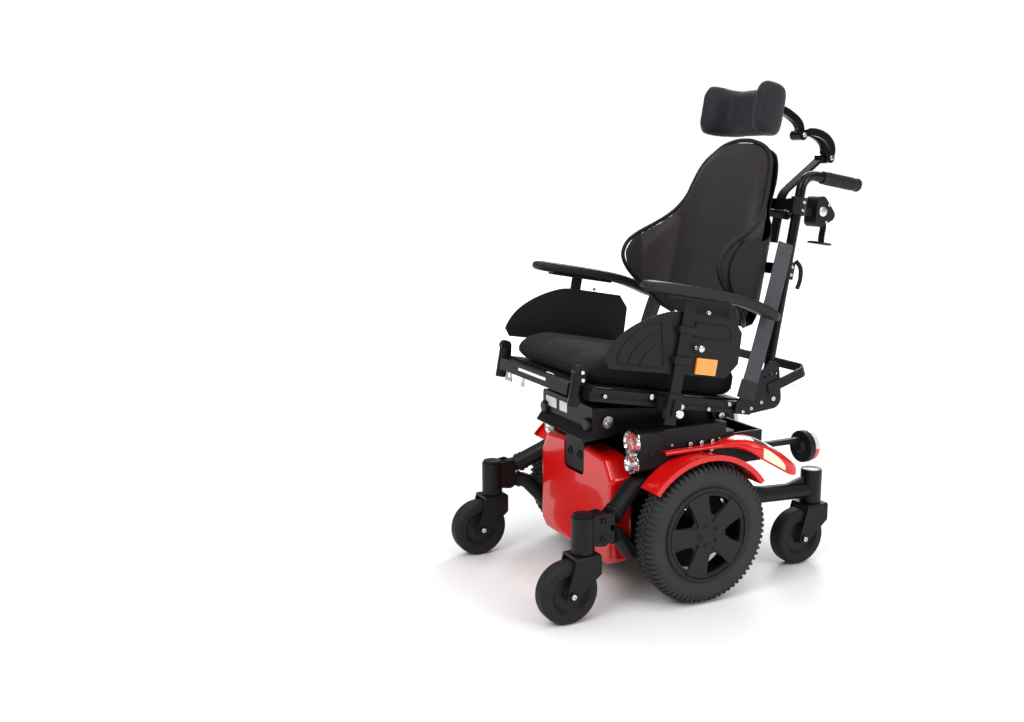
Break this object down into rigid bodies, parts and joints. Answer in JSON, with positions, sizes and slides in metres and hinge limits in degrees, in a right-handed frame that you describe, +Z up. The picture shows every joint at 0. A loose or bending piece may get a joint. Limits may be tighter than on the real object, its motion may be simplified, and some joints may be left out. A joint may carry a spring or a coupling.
{
  "type": "power wheelchair",
  "caption": "Mid-wheel-drive power wheelchair with tilting seat, reclining contoured back, headrest and sprung caster arms.",
  "frame": {"origin": "on the floor under the middle of the chair's length and width", "axes": "+Z up, the chair faces -Y, the sitter's left is +X"},
  "size_m": [0.6382, 1.0399, 1.2869],
  "materials": {
    "frame_black": "satin black powder coat",
    "tube_black": "gloss black",
    "red_gloss": "high gloss red",
    "tyre_rubber": "dark grey rubber",
    "caster_rubber": "solid rubber and moulded hub",
    "rim_black": "moulded black",
    "housing_black": "fine grain",
    "guard_black": "semi-matt",
    "pad_black": "moulded soft skin",
    "lens_clear": "clear moulded lens",
    "lens_red": "red and clear lens",
    "bolt_steel": "zinc plated",
    "rod_chrome": "ground",
    "actuator_grey": "satin",
    "lever_red": "red",
    "cushion_fabric": "black knit",
    "back_fabric": "dark spacer knit",
    "shell_black": "moulded",
    "head_fabric": "dark blue-grey stretch fabric",
    "webbing_grey": "ribbed webbing"
  },
  "bodies": {
    "base": {"chassis_frame": "frame_black", "battery_pair": "housing_black", "front_shroud": "red_gloss", "base_deck": "frame_black", "drive_motors": "housing_black", "mudguards": "red_gloss", "side_shrouds": "red_gloss", "lamp_housings": "housing_black", "front_lamp_lenses": "lens_clear", "rear_lamp_lenses": "lens_red", "tilt_module": "frame_black", "base_bolts": "bolt_steel"},
    "drive_wheel_left": {"drive_tyre_left": "tyre_rubber", "drive_rim_left": "rim_black"},
    "front_arm_left": {"front_upper_arm_left": "frame_black", "front_lower_arm_left": "frame_black", "front_caster_head_left": "frame_black"},
    "front_caster_left": {"front_caster_fork_left": "frame_black"},
    "front_wheel_left": {"front_caster_wheel_left": "caster_rubber"},
    "rear_arm_left": {"rear_arm_left": "frame_black"},
    "rear_caster_left": {"rear_caster_fork_left": "frame_black"},
    "rear_wheel_left": {"rear_caster_wheel_left": "caster_rubber"},
    "freewheel_left": {"freewheel_lever_left": "lever_red"},
    "drive_wheel_right": {"drive_tyre_right": "tyre_rubber", "drive_rim_right": "rim_black"},
    "front_arm_right": {"front_upper_arm_right": "frame_black", "front_lower_arm_right": "frame_black", "front_caster_head_right": "frame_black"},
    "front_caster_right": {"front_caster_fork_right": "frame_black"},
    "front_wheel_right": {"front_caster_wheel_right": "caster_rubber"},
    "rear_arm_right": {"rear_arm_right": "frame_black"},
    "rear_caster_right": {"rear_caster_fork_right": "frame_black"},
    "rear_wheel_right": {"rear_caster_wheel_right": "caster_rubber"},
    "freewheel_right": {"freewheel_lever_right": "lever_red"},
    "seat": {"seat_frame": "frame_black", "seat_pan": "frame_black", "seat_cushion": "cushion_fabric", "legrest_receivers": "frame_black", "seat_fasteners": "bolt_steel", "armrest_sockets": "frame_black", "recline_brackets": "frame_black", "rear_loop": "frame_black"},
    "actuator_tube": {"tilt_actuator": "actuator_grey"},
    "actuator_rod": {"tilt_rod": "rod_chrome"},
    "armrest_left": {"armrest_post_left": "frame_black", "armrest_pad_left": "pad_black", "side_guard_left": "guard_black"},
    "armrest_right": {"armrest_post_right": "frame_black", "armrest_pad_right": "pad_black", "side_guard_right": "guard_black"},
    "back": {"back_frame": "tube_black", "back_shell": "shell_black", "back_cushion": "back_fabric", "push_grips": "pad_black", "belt_reel": "housing_black", "harness_straps": "webbing_grey"},
    "headrest_support": {"headrest_bar": "tube_black"},
    "headrest_rear_link": {"headrest_link_rear": "tube_black"},
    "headrest_front_link": {"headrest_link_front": "tube_black"},
    "headrest": {"headrest_pad": "head_fabric"}
  },
  "joints": [
    {"name": "drive_wheel_spin_left", "type": "hinge", "parent": "base", "child": "drive_wheel_left", "pos_m": [0.282, -0.08409, 0.177], "axis": [1, 0, 0], "continuous": true},
    {"name": "front_arm_swing_left", "type": "hinge", "parent": "base", "child": "front_arm_left", "pos_m": [0.205, -0.18409, 0.296], "axis": [1, 0, 0], "range_deg": [-4, 4]},
    {"name": "front_caster_swivel_left", "type": "hinge", "parent": "front_arm_left", "child": "front_caster_left", "pos_m": [0.256, -0.40009, 0.2], "axis": [0, 0, 1], "continuous": true},
    {"name": "front_wheel_spin_left", "type": "hinge", "parent": "front_caster_left", "child": "front_wheel_left", "pos_m": [0.256, -0.44309, 0.076], "axis": [1, 0, 0], "continuous": true},
    {"name": "rear_arm_swing_left", "type": "hinge", "parent": "base", "child": "rear_arm_left", "pos_m": [0.186, 0.08091, 0.225], "axis": [1, 0, 0], "range_deg": [-4, 4]},
    {"name": "rear_caster_swivel_left", "type": "hinge", "parent": "rear_arm_left", "child": "rear_caster_left", "pos_m": [0.186, 0.34291, 0.2], "axis": [0, 0, 1], "continuous": true},
    {"name": "rear_wheel_spin_left", "type": "hinge", "parent": "rear_caster_left", "child": "rear_wheel_left", "pos_m": [0.186, 0.29991, 0.076], "axis": [1, 0, 0], "continuous": true},
    {"name": "freewheel_lever_turn_left", "type": "hinge", "parent": "base", "child": "freewheel_left", "pos_m": [0.245, -0.02209, 0.185], "axis": [1, 0, 0], "range_deg": [0, 60]},
    {"name": "drive_wheel_spin_right", "type": "hinge", "parent": "base", "child": "drive_wheel_right", "pos_m": [-0.282, -0.08409, 0.177], "axis": [1, 0, 0], "continuous": true},
    {"name": "front_arm_swing_right", "type": "hinge", "parent": "base", "child": "front_arm_right", "pos_m": [-0.205, -0.18409, 0.296], "axis": [1, 0, 0], "range_deg": [-4, 4]},
    {"name": "front_caster_swivel_right", "type": "hinge", "parent": "front_arm_right", "child": "front_caster_right", "pos_m": [-0.256, -0.40009, 0.2], "axis": [0, 0, 1], "continuous": true},
    {"name": "front_wheel_spin_right", "type": "hinge", "parent": "front_caster_right", "child": "front_wheel_right", "pos_m": [-0.256, -0.44309, 0.076], "axis": [1, 0, 0], "continuous": true},
    {"name": "rear_arm_swing_right", "type": "hinge", "parent": "base", "child": "rear_arm_right", "pos_m": [-0.186, 0.08091, 0.225], "axis": [1, 0, 0], "range_deg": [-4, 4]},
    {"name": "rear_caster_swivel_right", "type": "hinge", "parent": "rear_arm_right", "child": "rear_caster_right", "pos_m": [-0.186, 0.34291, 0.2], "axis": [0, 0, 1], "continuous": true},
    {"name": "rear_wheel_spin_right", "type": "hinge", "parent": "rear_caster_right", "child": "rear_wheel_right", "pos_m": [-0.186, 0.29991, 0.076], "axis": [1, 0, 0], "continuous": true},
    {"name": "freewheel_lever_turn_right", "type": "hinge", "parent": "base", "child": "freewheel_right", "pos_m": [-0.245, -0.02209, 0.185], "axis": [1, 0, 0], "range_deg": [0, 60]},
    {"name": "seat_tilt", "type": "hinge", "parent": "base", "child": "seat", "pos_m": [0, 0.06591, 0.425], "axis": [-1, 0, 0], "range_deg": [-8, 32]},
    {"name": "actuator_pivot", "type": "hinge", "parent": "base", "child": "actuator_tube", "pos_m": [0, -0.02409, 0.349], "axis": [-1, 0, 0], "range_deg": [-12, 36]},
    {"name": "actuator_stroke", "type": "slide", "parent": "actuator_tube", "child": "actuator_rod", "axis": [0, -0.8286, 0.5599], "range_m": [-0.03, 0.09]},
    {"name": "armrest_height_left", "type": "slide", "parent": "seat", "child": "armrest_left", "axis": [0, 0.1736, 0.9848], "range_m": [0, 0.04]},
    {"name": "armrest_height_right", "type": "slide", "parent": "seat", "child": "armrest_right", "axis": [0, 0.1736, 0.9848], "range_m": [0, 0.04]},
    {"name": "back_recline", "type": "hinge", "parent": "seat", "child": "back", "pos_m": [0, 0.147, 0.48178], "axis": [-1, 0, 0], "range_deg": [0, 25], "deforming": ["harness_straps"]},
    {"name": "headrest_height", "type": "slide", "parent": "back", "child": "headrest_support", "axis": [0, 0.1736, 0.9848], "range_m": [0, 0.06]},
    {"name": "headrest_rear_link_turn", "type": "hinge", "parent": "headrest_support", "child": "headrest_rear_link", "pos_m": [0, 0.50509, 1.07867], "axis": [-1, 0, 0], "range_deg": [0, 12]},
    {"name": "headrest_front_link_turn", "type": "hinge", "parent": "headrest_rear_link", "child": "headrest_front_link", "pos_m": [0, 0.4062, 1.13977], "axis": [-1, 0, 0], "range_deg": [0, 12]},
    {"name": "headrest_tilt", "type": "hinge", "parent": "headrest_front_link", "child": "headrest", "pos_m": [0, 0.28668, 1.19334], "axis": [-1, 0, 0], "range_deg": [0, 15]}
  ],
  "couplings": [
    {"joint": "actuator_pivot", "follows": "seat_tilt", "ratio": 0.9986},
    {"joint": "actuator_stroke", "follows": "seat_tilt", "m_per_rad": 0.11627}
  ]
}
